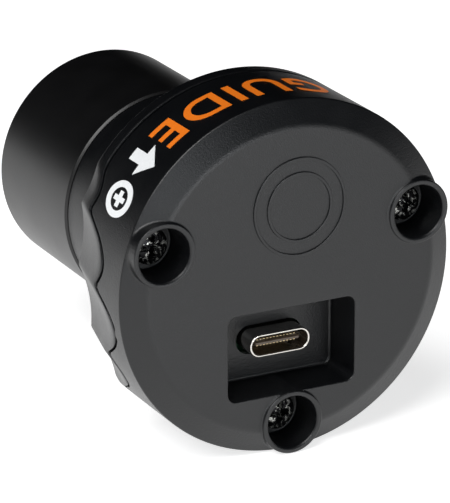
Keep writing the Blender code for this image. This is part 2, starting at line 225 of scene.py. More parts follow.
def piece(name, points, faces, look=None):
    """Closed mesh from points in millimetres, smooth except at its sharp edges."""
    mesh = bpy.data.meshes.new(name)
    mesh.from_pydata([tuple(c * MM for c in point) for point in points], [], faces)
    bm = bmesh.new()
    bm.from_mesh(mesh)
    bmesh.ops.remove_doubles(bm, verts=bm.verts, dist=0.001 * MM)
    bmesh.ops.delete(bm, geom=[e for e in bm.edges if not e.link_faces], context="EDGES")
    bmesh.ops.recalc_face_normals(bm, faces=bm.faces)
    bm.to_mesh(mesh)
    bm.free()
    obj = bpy.data.objects.new(name, mesh)
    bpy.context.scene.collection.objects.link(obj)
    if look:
        mesh.materials.append(look)
    return soften(obj)


def rounded(corners, steps=5):
    """Section points (radius, y) from corners (radius, y, rounding); 0 keeps a corner sharp."""
    points = []
    for number, (r, y, rounding) in enumerate(corners):
        if not rounding:
            points.append((r, y))
            continue
        here = Vector((r, y))
        back = (Vector(corners[number - 1][:2]) - here).normalized()
        ahead = (Vector(corners[(number + 1) % len(corners)][:2]) - here).normalized()
        half = back.angle(ahead) / 2
        centre = here + (back + ahead).normalized() * rounding / math.sin(half)
        start = here + back * rounding / math.tan(half) - centre
        end = here + ahead * rounding / math.tan(half) - centre
        first = math.atan2(start.y, start.x)
        turn_by = (math.atan2(end.y, end.x) - first + math.pi) % (2 * math.pi) - math.pi
        for step in range(steps + 1):
            angle = first + turn_by * step / steps
            points.append((centre.x + rounding * math.cos(angle),
                           centre.y + rounding * math.sin(angle)))
    return points


def turn(name, section, look=None, steps=96, at=(0.0, 0.0)):
    """Piece turned about the optical axis, or about a line along it through (x, z).

    section is a closed list of (radius, y), or a function that gives one for an angle in degrees.
    """
    angles = [360.0 * number / steps for number in range(steps)]
    sections = [section(angle) if callable(section) else section for angle in angles]
    rows = len(sections[0])
    points = [(at[0] + r * math.cos(math.radians(angle)), y, at[1] + r * math.sin(math.radians(angle)))
              for angle, ring in zip(angles, sections) for r, y in ring]
    faces = []
    for number in range(steps):
        here, there = number * rows, (number + 1) % steps * rows
        faces += [(here + row, here + (row + 1) % rows, there + (row + 1) % rows, there + row)
                  for row in range(rows)]
    return piece(name, points, faces, look)


def loft(name, loops, look=None, closed=False):
    """Skin over equal loops of points: a tube closed on itself, or a solid with both ends capped."""
    count = len(loops[0])
    points = [point for loop in loops for point in loop]
    faces = []
    for number in range(len(loops) if closed else len(loops) - 1):
        here, there = number * count, (number + 1) % len(loops) * count
        faces += [(here + i, here + (i + 1) % count, there + (i + 1) % count, there + i)
                  for i in range(count)]
    if not closed:
        faces += [tuple(range(count)), tuple(range((len(loops) - 1) * count, len(loops) * count))]
    return piece(name, points, faces, look)


def box_loop(width, height, corner, y, at=(0.0, 0.0), steps=6):
    """Rounded rectangle at y, its width along X and height along Z."""
    points = []
    for quarter, (sx, sz) in enumerate(((1, 1), (-1, 1), (-1, -1), (1, -1))):
        for step in range(steps + 1):
            angle = math.radians(90.0 * (quarter + step / steps))
            points.append((at[0] + sx * (width / 2 - corner) + corner * math.cos(angle), y,
                           at[1] + sz * (height / 2 - corner) + corner * math.sin(angle)))
    return points


def together(pieces):
    """Several loose pieces as one object, for one boolean."""
    bm = bmesh.new()
    for extra in pieces:
        bm.from_mesh(extra.data)
    bm.to_mesh(pieces[0].data)
    bm.free()
    for extra in pieces[1:]:
        bpy.data.objects.remove(extra)
    return pieces[0]


def combine(obj, operation, *pieces):
    """Add the pieces to obj, or cut them from it, for good."""
    tool = together(list(pieces))
    boolean = obj.modifiers.new("combine", "BOOLEAN")
    boolean.operation, boolean.solver, boolean.object = operation, "EXACT", tool
    view = bpy.context.evaluated_depsgraph_get()
    mesh = bpy.data.meshes.new_from_object(obj.evaluated_get(view))
    obj.modifiers.clear()
    obj.data = mesh
    bpy.data.objects.remove(tool)
    return soften(obj)


def flatten_shading(obj):
    """Let large faces decide the shading, so that flats stay flat beside their roundings."""
    normals = obj.modifiers.new("normals", "WEIGHTED_NORMAL")
    normals.keep_sharp = True
    return obj


GRIP_ANGLE, FLUTE_PITCH = -10.5, 19.0
FLUTE_STARTS = (-3.0, -9.3, -12.6, -9.3, -3.0)
FLUTE_R, FLUTE_SLOPE = 18.2, math.radians(12.3)
RIM_BEHIND_FLUTE, CUSP_SOFTNESS = 1.1, 0.9
FLUTES = [(side, start) for number, start in enumerate(FLUTE_STARTS)
          for side in (GRIP_ANGLE + (number - 2) * FLUTE_PITCH,
                       180.0 - GRIP_ANGLE - (number - 2) * FLUTE_PITCH)]


def off_flute(angle, flute_angle):
    return math.radians((angle - flute_angle + 180.0) % 360.0 - 180.0)


def parting_y(angle):
    """Middle of the groove between the shells: straight, but following the grips' flutes."""
    total = math.exp(-PARTING_Y / CUSP_SOFTNESS)
    for flute_angle, start in FLUTES:
        off = off_flute(angle, flute_angle)
        side = BODY_R * math.sin(off)
        if abs(off) < math.radians(35.0) and abs(side) < FLUTE_R:
            rise = BODY_R * (1 - math.cos(off)) + FLUTE_R - math.sqrt(FLUTE_R ** 2 - side ** 2)
            edge = start + rise / math.tan(FLUTE_SLOPE)
            total += math.exp(-(edge - RIM_BEHIND_FLUTE) / CUSP_SOFTNESS)
    return -CUSP_SOFTNESS * math.log(total)


FACE_ROUNDING, LIP_ROUNDING = 2.2, 0.24
rear_corners = [(0.0, REAR_Y, 0), (12.0, REAR_Y, 0), (BEVEL_FROM_R, REAR_Y, FACE_ROUNDING),
                (BODY_R, BEVEL_TO_Y, 0.3)]


def rear_section(angle):
    lip_y = parting_y(angle) - PARTING_GROOVE / 2
    return rounded(rear_corners + [
        (BODY_R, BEVEL_TO_Y + 2.0, 0), (BODY_R, lip_y, LIP_ROUNDING),
        (BODY_R - WALL, lip_y, 0), (BODY_R - WALL, REAR_Y + WALL, 0), (0.0, REAR_Y + WALL, 0)])


rear_outline = np.array(rounded(rear_corners + [(BODY_R, 0.0, 0)])[:-1])


def rear_surface_y(x, z):
    """Where the flat face or its bevel lies under a point."""
    return float(np.interp(math.hypot(x, z), rear_outline[:, 0], rear_outline[:, 1]))


SCREW_CIRCLE_R, SCREW_ANGLES = 19.85, (-90.0, 19.5, 160.5)
SCREW_PLACES = [(SCREW_CIRCLE_R * math.cos(math.radians(a)), SCREW_CIRCLE_R * math.sin(math.radians(a)))
                for a in SCREW_ANGLES]
WELL_R, WELL_FLOOR_Y, TUBE_R, TUBE_END_Y = 3.6, -12.2, 4.4, -9.7
FLARE_WIDTH, FLARE_SHARE = 0.30, 0.30


def flare(name, at):
    """Concave foot round a screw tube, which runs out on the flat face, the bevel and the band."""
    reach = BODY_R - 0.02
    direction = math.degrees(math.atan2(at[1], at[0]))

    def section(angle):
        outward = math.radians(angle - direction)
        limit = (math.sqrt(reach ** 2 - (SCREW_CIRCLE_R * math.sin(outward)) ** 2)
                 - SCREW_CIRCLE_R * math.cos(outward))
        width = min(FLARE_WIDTH, limit - TUBE_R)
        turned_by = math.radians(angle)
        points = [(0.0, REAR_Y + 0.6), (0.0, RIM_Y + 0.1), (TUBE_R - 0.25, RIM_Y + 0.1)]
        for step in range(9):
            out = TUBE_R + width * step / 8
            ground = rear_surface_y(at[0] + out * math.cos(turned_by), at[1] + out * math.sin(turned_by))
            share = 1 - (out - TUBE_R) / FLARE_WIDTH
            lift = 1 - math.sqrt(max(0.0, 1 - share ** 2))
            points.append((out, ground - lift * FLARE_SHARE * (ground - RIM_Y)))
        points.append((TUBE_R + width, max(ground, REAR_Y) + 0.6))
        return points

    return turn(name, section, steps=128, at=at)


def screw_tube(name, at):
    """Tube round a case screw's well, with rounded rims and a hole in its floor."""
    return turn(name, rounded([
        (TUBE_R, TUBE_END_Y, 0), (TUBE_R, RIM_Y, 0.20), (WELL_R, RIM_Y, 0.42),
        (WELL_R, WELL_FLOOR_Y, 0.3), (1.6, WELL_FLOOR_Y, 0), (1.6, TUBE_END_Y, 0)]), steps=96, at=at)


EMBLEM_AT, EMBLEM_RADII, EMBLEM_LINE, EMBLEM_HEIGHT = (1.0, 10.0), (4.6, 6.6), 0.42, 0.20


def raised_ring(number, radius):
    inner, outer = radius - EMBLEM_LINE / 2, radius + EMBLEM_LINE / 2
    return turn(f"emblem_{number}", rounded([
        (outer, REAR_Y + 0.5, 0), (outer, REAR_Y - EMBLEM_HEIGHT, 0.08),
        (inner, REAR_Y - EMBLEM_HEIGHT, 0.08), (inner, REAR_Y + 0.5, 0)], 3), steps=128, at=EMBLEM_AT)


RECESS_W, RECESS_H, RECESS_Z, RECESS_FLOOR_Y, RECESS_CORNER = 18.8, 11.9, -9.65, -10.9, 1.2
MOUTH_ROUNDING, FLOOR_ROUNDING = 0.22, 0.4


def recess_loops():
    """Loops of the recess: a slightly rounded mouth, plain walls and a rounded floor edge."""
    steps = [(MOUTH_ROUNDING, REAR_Y - 1.5), (MOUTH_ROUNDING, REAR_Y)]
    for step in range(1, 5):
        angle = math.radians(22.5 * step)
        steps.append((MOUTH_ROUNDING * (1 - math.sin(angle)),
                      REAR_Y + MOUTH_ROUNDING * (1 - math.cos(angle))))
    for step in range(6):
        angle = math.radians(18.0 * step)
        steps.append((-FLOOR_ROUNDING * (1 - math.cos(angle)),
                      RECESS_FLOOR_Y - FLOOR_ROUNDING * (1 - math.sin(angle))))
    return [box_loop(RECESS_W + 2 * out, RECESS_H + 2 * out, RECESS_CORNER + out, y, (0.0, RECESS_Z))
            for out, y in steps]


rear_shell = turn("moulded_rear_shell", rear_section, SHELL_PLASTIC, BODY_STEPS)
combine(rear_shell, "UNION", loft("recess_walls", [
    box_loop(RECESS_W + 1.8, RECESS_H + 1.8, 1.0, y, (0.0, RECESS_Z))
    for y in (REAR_Y + 1.0, RECESS_FLOOR_Y + 1.2)]))
combine(rear_shell, "UNION", *[flare(f"flare_{n}", at) for n, at in enumerate(SCREW_PLACES)],
        *[raised_ring(n, radius) for n, radius in enumerate(EMBLEM_RADII)])
combine(rear_shell, "DIFFERENCE", loft("recess", recess_loops()))
combine(rear_shell, "DIFFERENCE", *[
    turn(f"through_{n}", [(0, -25), (4.0, -25), (4.0, TUBE_END_Y + 1), (0, TUBE_END_Y + 1)], at=at)
    for n, at in enumerate(SCREW_PLACES)])
combine(rear_shell, "UNION", *[screw_tube(f"tube_{n}", at) for n, at in enumerate(SCREW_PLACES)])
HOLE_W, HOLE_H, SOCKET_Z = 9.8, 4.1, -9.82
combine(rear_shell, "DIFFERENCE", loft("socket_hole", [
    box_loop(HOLE_W, HOLE_H, HOLE_H * 0.49, y, (0.0, SOCKET_Z - 0.2)) for y in (-12.0, -8.0)]))
flatten_shading(rear_shell)
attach(rear_shell, "camera_body")
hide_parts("rear_shell")


# ---------------------------------------------------------------- front shell
# Moulded front half in the same plastic: shoulder, neck and the wall inside the rear shell. Each
# side has a grip of five scooped flutes, and the wall's end carries bosses for the case screws.
neck_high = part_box("front_shell")[1] / MM
NECK_R, NECK_END_Y, SHOULDER_Y = 15.55, neck_high.y, 0.0
SHOULDER_ROUNDING, FLUTE_EDGE = 0.45, 0.08
FLUTE_ACROSS = FLUTE_R / math.cos(FLUTE_SLOPE)
OUTER_ROWS = 36


def outside_r(angle, y):
    """Outside of the front shell, scooped by the flutes with slightly softened edges."""
    radii = [BODY_R]
    for flute_angle, start in FLUTES:
        off = off_flute(angle, flute_angle)
        if abs(off) > math.radians(40.0):
            continue
        middle = BODY_R - (y - start) * math.tan(FLUTE_SLOPE) + FLUTE_ACROSS
        a = (math.cos(off) / FLUTE_ACROSS) ** 2 + (math.sin(off) / FLUTE_R) ** 2
        b = math.cos(off) * middle / FLUTE_ACROSS ** 2
        c = (middle / FLUTE_ACROSS) ** 2 - 1
        if b * b > a * c:
            radii.append((b - math.sqrt(b * b - a * c)) / a)
    least = min(radii)
    return least - FLUTE_EDGE * math.log(sum(math.exp((least - r) / FLUTE_EDGE) for r in radii))


def front_section(angle):
    lip_y = parting_y(angle) + PARTING_GROOVE / 2
    top_y = SHOULDER_Y - SHOULDER_ROUNDING
    spigot_r, cavity_r = BODY_R - WALL - 0.3, 19.8
    top_r = outside_r(angle, top_y)
    points = [(NECK_R - 0.06, NECK_END_Y), (NECK_R, NECK_END_Y - 0.06), (NECK_R, SHOULDER_Y + 0.3),
              (NECK_R + 0.3, SHOULDER_Y)]
    for step in range(6):
        turned_by = math.radians(18.0 * step)
        points.append((top_r - SHOULDER_ROUNDING * (1 - math.sin(turned_by)),
                       top_y + SHOULDER_ROUNDING * math.cos(turned_by)))
    for row in range(1, OUTER_ROWS):
        y = top_y + (lip_y + LIP_ROUNDING - top_y) * row / (OUTER_ROWS - 1)
        points.append((outside_r(angle, y), y))
    lip_r = points[-1][0]
    points += [(lip_r - LIP_ROUNDING * 0.3, lip_y + LIP_ROUNDING * 0.3), (lip_r - LIP_ROUNDING, lip_y),
               (spigot_r, lip_y), (spigot_r, -14.9), (cavity_r, -14.9), (cavity_r, -2.0), (13.8, -2.0),
               (13.8, -1.0), (10.9, -1.0), (10.9, 7.2), (9.8, 7.2), (9.8, 8.2), (12.3, 8.2),
               (12.3, 13.3), (14.2, 13.3), (14.2, NECK_END_Y)]
    return points


POST_OFFSET = 11.9
POST_PLACES = [(sx * POST_OFFSET, sz * POST_OFFSET) for sx in (1, -1) for sz in (1, -1)]


def plain_rod(name, radius, rear_y, front_y, at, look=None, steps=48):
    return turn(name, [(0, rear_y), (radius, rear_y), (radius, front_y), (0, front_y)], look, steps, at)


front_shell = turn("moulded_front_shell", front_section, SHELL_PLASTIC, 360)
combine(front_shell, "DIFFERENCE", *[
    plain_rod(f"clearance_{n}", TUBE_R + 0.3, -16.0, TUBE_END_Y + 0.3, at)
    for n, at in enumerate(SCREW_PLACES)])
combine(front_shell, "UNION", *[
    plain_rod(f"boss_{n}", 2.1, TUBE_END_Y + 0.3, -1.0, at) for n, at in enumerate(SCREW_PLACES)], *[
    plain_rod(f"post_{n}", 2.2, -5.5, -1.0, at) for n, at in enumerate(POST_PLACES)])
combine(front_shell, "DIFFERENCE", *[
    plain_rod(f"pilot_{n}", 1.45, -12.0, -2.6, at) for n, at in enumerate(SCREW_PLACES)], *[
    plain_rod(f"post_pilot_{n}", 1.1, -9.0, -2.6, at) for n, at in enumerate(POST_PLACES)])
flatten_shading(front_shell)
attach(front_shell, "camera_body")
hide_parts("front_shell")


# ---------------------------------------------------------------- print on the band
# Two colours of pad-printed ink, about 0.03 mm thick: a plain word in orange, and an arrow and a
# sighting mark in white. The tops of the marks point to the rear face.
PRINT_FOOT_Y, PRINT_HEIGHT, INK = -6.3, 6.2, 0.03
WORD_FROM, WORD_TO = 68.0, 129.0
ARROW_MIDDLE, MARK_MIDDLE = 136.0, 150.0


def ink(name, colour):
    """Printed ink with slightly uneven cover."""
    look = bpy.data.materials.new(name)
    look.use_nodes = True
    tree = look.node_tree
    place = add_node(tree, "TexCoord", {}, {}, "Object")
    cover = add_node(tree, "TexNoise", {}, {"Vector": place, "Scale": 2400.0, "Detail": 3.0})
    thin = tuple(0.86 * c for c in colour)
    tone = add_node(tree, "Mix", {"data_type": "RGBA"}, {0: cover, 6: (*thin, 1), 7: (*colour, 1)}, 2)
    bump = add_node(tree, "Bump", {}, {"Height": cover, "Strength": 0.2, "Distance": 0.00003})
    shader = tree.nodes["Principled BSDF"]
    tree.links.new(tone.socket, shader.inputs["Base Color"])
    tree.links.new((0.38 + cover * 0.12).socket, shader.inputs["Roughness"])
    tree.links.new(bump.socket, shader.inputs["Normal"])
    return look


ORANGE_INK = ink("orange_ink", (0.95, 0.215, 0.012))
WHITE_INK = ink("white_ink", (0.90, 0.92, 0.93))


def flat_mark(outlines):
    """Flat closed slab of ink in millimetres from outlines; one inside another is a hole."""
    curve = bpy.data.curves.new("mark", "CURVE")
    curve.dimensions, curve.fill_mode, curve.extrude = "2D", "BOTH", INK / 2
    for outline in outlines:
        spline = curve.splines.new("POLY")
        spline.points.add(len(outline) - 1)
        for point, (u, v) in zip(spline.points, outline):
            point.co = (u, v, 0.0, 1.0)
        spline.use_cyclic_u = True
    return curve


def wrap_on_band(name, flat, width, height, middle, look):
    """Slice a flat mark, bend it round the band, and print it centred on an angle."""
    source = bpy.data.objects.new("flat", flat)
    bpy.context.scene.collection.objects.link(source)
    view = bpy.context.evaluated_depsgraph_get()
    mesh = bpy.data.meshes.new_from_object(source.evaluated_get(view))
    bpy.data.objects.remove(source)
    bm = bmesh.new()
    bm.from_mesh(mesh)
    bmesh.ops.remove_doubles(bm, verts=bm.verts, dist=0.0005)
    low = [min(v.co[axis] for v in bm.verts) for axis in range(3)]
    high = [max(v.co[axis] for v in bm.verts) for axis in range(3)]
    slices = int(width / 0.4)
    for number in range(1, slices):
        cut_at = low[0] + (high[0] - low[0]) * number / slices
        bmesh.ops.bisect_plane(bm, geom=bm.verts[:] + bm.edges[:] + bm.faces[:],
                               plane_co=(cut_at, 0, 0), plane_no=(1, 0, 0))
    for vert in bm.verts:
        across = ((vert.co.x - low[0]) / (high[0] - low[0]) - 0.5) * width
        up = (vert.co.y - low[1]) / (high[1] - low[1]) * height
        above = (vert.co.z - low[2]) / (high[2] - low[2]) * 2 - 1
        angle = math.radians(middle) + across / BODY_R
        radius = BODY_R + above * INK
        foot = PRINT_FOOT_Y - (PRINT_HEIGHT - height) / 2
        vert.co = Vector((radius * math.cos(angle), foot - up, radius * math.sin(angle))) * MM
    bmesh.ops.recalc_face_normals(bm, faces=bm.faces)
    bm.to_mesh(mesh)
    bm.free()
    mesh.materials.clear()
    mesh.materials.append(look)
    obj = bpy.data.objects.new(name, mesh)
    bpy.context.scene.collection.objects.link(obj)
    soften(obj, 20.0)
    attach(obj, "camera_body")
    return obj


def ring_outline(radius, steps=64):
    return [(radius * math.cos(2 * math.pi * i / steps), radius * math.sin(2 * math.pi * i / steps))
            for i in range(steps)]


word = bpy.data.curves.new("word", "FONT")
word.body = "GUIDE"
word.extrude = INK / 2
word.offset = 0.012
word.space_character = 1.08
word.resolution_u = 8
wrap_on_band("printed_word", word, math.radians(WORD_TO - WORD_FROM) * BODY_R, PRINT_HEIGHT,
             (WORD_FROM + WORD_TO) / 2, ORANGE_INK)
arrow = flat_mark([[(0, 6.2), (-2.6, 2.9), (-0.95, 2.9), (-0.95, 0), (0.95, 0), (0.95, 2.9),
                    (2.6, 2.9)]])
wrap_on_band("printed_arrow", arrow, 4.9, PRINT_HEIGHT, ARROW_MIDDLE, WHITE_INK)
tick, arm = 0.38, 1.15
cross = [(tick, tick), (tick, arm), (-tick, arm), (-tick, tick), (-arm, tick), (-arm, -tick),
         (-tick, -tick), (-tick, -arm), (tick, -arm), (tick, -tick), (arm, -tick), (arm, tick)]
mark = flat_mark([ring_outline(2.6), ring_outline(1.65), cross])
wrap_on_band("printed_sight", mark, 5.0, 6.2, MARK_MIDDLE, WHITE_INK)


# ---------------------------------------------------------------- case screws
# Three long pan head screws of blackened steel, driven from the rear at the bottom of the wells.
# Each head is domed, with a cross recess pressed into it.
SCREW_HEAD_R, SCREW_SHANK_R = 2.5, 1.2
ARM_HALF, ARM_LENGTH, RECESS_DEPTH = 0.46, 1.60, 1.25


def blackened_steel():
    """Oiled black oxide on steel, a little scuffed where the driver goes in."""
    look = bpy.data.materials.new("blackened_steel")
    look.use_nodes = True
    tree = look.node_tree
    place = add_node(tree, "TexCoord", {}, {}, "Object")
    wear = add_node(tree, "TexNoise", {}, {"Vector": place, "Scale": 1800.0, "Detail": 5.0})
    scuffs = wear > 0.56
    tone = add_node(tree, "Mix", {"data_type": "RGBA"},
                    {0: scuffs * 0.8, 6: (0.010, 0.010, 0.011, 1), 7: (0.55, 0.55, 0.52, 1)}, 2)
    bump = add_node(tree, "Bump", {}, {"Height": wear, "Strength": 1.0, "Distance": 0.00012})
    shader = tree.nodes["Principled BSDF"]
    tree.links.new(tone.socket, shader.inputs["Base Color"])
    tree.links.new((0.16 + wear * 0.16).socket, shader.inputs["Roughness"])
    tree.links.new(bump.socket, shader.inputs["Normal"])
    shader.inputs["Metallic"].default_value = 0.85
    return look


BLACKENED_STEEL = blackened_steel()


def cross_loop(half, arm, y, at):
    outline = [(half, half), (half, arm), (-half, arm), (-half, half), (-arm, half), (-arm, -half),
               (-half, -half), (-half, -arm), (half, -arm), (half, -half), (arm, -half), (arm, half)]
    return [(at[0] + x, y, at[1] + z) for x, z in outline]


for number, at in enumerate(SCREW_PLACES, 1):
    node = f"case_screw_{number}"
    low, high = (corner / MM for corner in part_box(node))
    seat_y = WELL_FLOOR_Y - 0.3
    dome = [(SCREW_HEAD_R * math.sin(math.radians(a)),
             low.y + 0.75 * (1 - math.cos(math.radians(a)))) for a in range(0, 91, 9)]
    section = [(0, high.y), (SCREW_SHANK_R - 0.3, high.y)]
    for turn_number in range(14):
        thread_y = high.y - 0.4 - 0.5 * turn_number
        section += [(SCREW_SHANK_R, thread_y), (SCREW_SHANK_R - 0.22, thread_y - 0.25)]
    section += [(SCREW_SHANK_R - 0.05, seat_y), (SCREW_HEAD_R, seat_y)] + dome[::-1]
    screw = turn(f"pan_head_screw_{number}", section, BLACKENED_STEEL, 64, at)
    combine(screw, "DIFFERENCE", loft("cross", [
        cross_loop(ARM_HALF * share, ARM_LENGTH * reach, y, at) for share, reach, y in (
            (1.1, 1.05, low.y - 0.2), (1.0, 1.0, low.y + 0.1), (0.62, 0.42, low.y + RECESS_DEPTH))]))
    edge = screw.modifiers.new("worn_edges", "BEVEL")
    edge.width, edge.segments, edge.limit_method = 0.09 * MM, 2, "ANGLE"
    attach(screw, "camera_body")
    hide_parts(node)


# ---------------------------------------------------------------- nosepiece and its rings
# Barrel of 31.7 mm turned from aluminium and anodised black. Its rear end has the mounting thread,
# its bore is ribbed against stray light, and its mouth is threaded for a filter.
nose_low, nose_high = (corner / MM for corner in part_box("nosepiece"))
NOSE_R, NOSE_STEPS = nose_high.x, 216
FLANGE_Y = 18.6
MOUNT_PITCH, FILTER_PITCH, RIB_PITCH = 25.4 / 32, 0.75, 0.8


def black_anodised():
    """Black anodising over faint turning marks."""
    look = bpy.data.materials.new("black_anodised")
    look.use_nodes = True
    tree = look.node_tree
    place = add_node(tree, "TexCoord", {}, {}, "Object")
    along = add_node(tree, "SeparateXYZ", {}, {"Vector": place}, "Y")
    turning = add_node(tree, "TexNoise", {"noise_dimensions": "1D"}, {"W": along * 9000.0, "Scale": 1.0,
                                                                     "Detail": 3.0})
    bloom = add_node(tree, "TexNoise", {}, {"Vector": place, "Scale": 180.0, "Detail": 3.0})
    tone = add_node(tree, "Mix", {"data_type": "RGBA"},
                    {0: bloom, 6: (0.0020, 0.0020, 0.0022, 1), 7: (0.0045, 0.0045, 0.0050, 1)}, 2)
    bump = add_node(tree, "Bump", {}, {"Height": turning, "Strength": 0.10, "Distance": 0.00003})
    shader = tree.nodes["Principled BSDF"]
    tree.links.new(tone.socket, shader.inputs["Base Color"])
    tree.links.new((0.34 + bloom * 0.08).socket, shader.inputs["Roughness"])
    tree.links.new(bump.socket, shader.inputs["Normal"])
    shader.inputs["IOR"].default_value = 1.5
    return look


BLACK_ANODISED = black_anodised()


def thread_rows(crest_r, root_r, from_y, to_y, pitch, angle, rows_per_turn=10):
    """Rows of a right-hand thread between two y values, at one angle round it."""
    rows = int(abs(to_y - from_y) / pitch * rows_per_turn)
    points = []
    for row in range(rows + 1):
        y = from_y + (to_y - from_y) * row / rows
        phase = (y / pitch + angle / 360.0) % 1.0
        share = min(1.0, max(0.0, 1.25 * abs(2 * phase - 1) - 0.125))
        points.append((crest_r + (root_r - crest_r) * share, y))
    return points


def nose_section(angle):
    mount_r, bore_r, filter_r = 12.6, 14.0, 14.25
    front = nose_high.y
    points = rounded([
        (filter_r + 0.35, front, 0), (NOSE_R - 0.35, front, 0.1), (NOSE_R, front - 0.35, 0.2),
        (NOSE_R, FLANGE_Y + 0.3, 0.12), (NOSE_R - 0.3, FLANGE_Y, 0.06), (mount_r, FLANGE_Y, 0)], 3)
    points += [(mount_r - 0.35, FLANGE_Y - 0.05), (mount_r - 0.35, FLANGE_Y - 0.5)]
    points += thread_rows(mount_r, mount_r - 0.42, FLANGE_Y - 0.6, nose_low.y + 0.5, MOUNT_PITCH, angle)
    points += [(mount_r - 0.45, nose_low.y), (11.3, nose_low.y), (11.3, 21.6), (bore_r, 21.6)]
    ribs = 17
    for rib in range(ribs):
        rib_y = 22.0 + RIB_PITCH * rib
        points += [(bore_r + 0.3, rib_y), (bore_r + 0.3, rib_y + 0.12), (bore_r, rib_y + 0.55)]
    points += thread_rows(filter_r, filter_r + 0.35, 36.3, front - 0.5, FILTER_PITCH, angle)
    return points


nosepiece = turn("turned_nosepiece", nose_section, BLACK_ANODISED, NOSE_STEPS)
flatten_shading(nosepiece)
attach(nosepiece, "nosepiece")
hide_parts("nosepiece")


def bevelled_ring(name, node, inner_r, rounding, look, body, inside=None):
    """Ring in place of a CAD node: its outside from the node's box, its edges rounded."""
    low, high = (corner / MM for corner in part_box(node))
    outer = [(high.x, high.y, rounding), (high.x, low.y, rounding)]
    if inside:
        made = turn(name, lambda angle: rounded(outer + [(inner_r + 0.4, low.y, 0)], 3)
                    + inside(low.y + 0.2, high.y - 0.2, angle) + [(inner_r + 0.4, high.y)], look, 160)
    else:
        made = turn(name, rounded(outer + [(inner_r, low.y, rounding), (inner_r, high.y, rounding)], 3),
                    look, 160)
    flatten_shading(made)
    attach(made, body)
    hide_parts(node)
    return made


def brushed_metal(name, colour, roughness, uneven=0.12):
    """Bare metal with fine brushing and faint finger marks."""
    look = bpy.data.materials.new(name)
    look.use_nodes = True
    tree = look.node_tree
    place = add_node(tree, "TexCoord", {}, {}, "Object")
    stretched = add_node(tree, "Mapping", {}, {"Vector": place, "Scale": (9000.0, 1500.0, 9000.0)})
    brushing = add_node(tree, "TexNoise", {}, {"Vector": stretched, "Scale": 1.0, "Detail": 3.0})
    smears = add_node(tree, "TexNoise", {}, {"Vector": place, "Scale": 400.0, "Detail": 2.0})
    dull = tuple(0.8 * c for c in colour)
    tone = add_node(tree, "Mix", {"data_type": "RGBA"}, {0: smears, 6: (*dull, 1), 7: (*colour, 1)}, 2)
    bump = add_node(tree, "Bump", {}, {"Height": brushing, "Strength": 0.15, "Distance": 0.00002})
    shader = tree.nodes["Principled BSDF"]
    tree.links.new(tone.socket, shader.inputs["Base Color"])
    tree.links.new((roughness + brushing * uneven).socket, shader.inputs["Roughness"])
    tree.links.new(bump.socket, shader.inputs["Normal"])
    shader.inputs["Metallic"].default_value = 1.0
    return look


BRASS = brushed_metal("turned_brass", (0.72, 0.50, 0.22), 0.22)
bevelled_ring("shim_ring", "spacer_ring", 12.85, 0.08, BLACK_ANODISED, "spacer")
bevelled_ring("brass_thread_ring", "thread_ring", 12.8, 0.15, BRASS, "camera_body",
              lambda low_y, high_y, angle: thread_rows(12.8, 13.2, low_y, high_y, MOUNT_PITCH, angle))


# ---------------------------------------------------------------- window
# Coated infrared-cut window, lying on a rubber gasket and held by a slotted ring of anodised
# aluminium. It keeps dust off the sensor.
def coated_glass(name, tint):
    look = bpy.data.materials.new(name)
    look.use_nodes = True
    tree = look.node_tree
    place = add_node(tree, "TexCoord", {}, {}, "Object")
    dust = add_node(tree, "TexNoise", {}, {"Vector": place, "Scale": 900.0, "Detail": 4.0})
    tone = add_node(tree, "Mix", {"data_type": "RGBA"},
                    {0: dust, 6: (*tint, 1), 7: tuple(0.96 * c for c in tint) + (1,)}, 2)
    shader = tree.nodes["Principled BSDF"]
    tree.links.new(tone.socket, shader.inputs["Base Color"])
    tree.links.new((0.01 + dust * 0.03).socket, shader.inputs["Roughness"])
    shader.inputs["Transmission Weight"].default_value = 1.0
    shader.inputs["IOR"].default_value = 1.52
    shader.inputs["Thin Film Thickness"].default_value = 130.0
    shader.inputs["Thin Film IOR"].default_value = 1.38
    return look


def rubber():
    look = bpy.data.materials.new("black_rubber")
    look.use_nodes = True
    tree = look.node_tree
    place = add_node(tree, "TexCoord", {}, {}, "Object")
    bloom = add_node(tree, "TexNoise", {}, {"Vector": place, "Scale": 1500.0, "Detail": 4.0})
    tone = add_node(tree, "Mix", {"data_type": "RGBA"},
                    {0: bloom, 6: (0.008, 0.008, 0.008, 1), 7: (0.022, 0.022, 0.022, 1)}, 2)
    bump = add_node(tree, "Bump", {}, {"Height": bloom, "Strength": 0.3, "Distance": 0.00005})
    shader = tree.nodes["Principled BSDF"]
    tree.links.new(tone.socket, shader.inputs["Base Color"])
    tree.links.new((0.65 + bloom * 0.2).socket, shader.inputs["Roughness"])
    tree.links.new(bump.socket, shader.inputs["Normal"])
    return look


WINDOW_GLASS = coated_glass("coated_window", (0.80, 0.93, 0.95))
RUBBER = rubber()
window_low, window_high = (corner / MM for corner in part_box("window"))
window = turn("bevelled_window", rounded([
    (0, window_high.y, 0), (window_high.x, window_high.y, 0.18), (window_high.x, window_low.y, 0.18),
    (0, window_low.y, 0)], 2), WINDOW_GLASS, 128)
flatten_shading(window)
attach(window, "camera_body")
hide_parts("window")
bevelled_ring("rubber_gasket", "window_gasket", 10.1, 0.18, RUBBER, "camera_body")
retainer = bevelled_ring("slotted_retainer", "window_retainer", 10.4, 0.15, BLACK_ANODISED,
                         "camera_body")
retainer.modifiers.clear()
combine(retainer, "DIFFERENCE", loft("spanner_slots", [
    box_loop(30.0, 1.4, 0.1, y) for y in (12.0, 14.0)]))
flatten_shading(retainer)


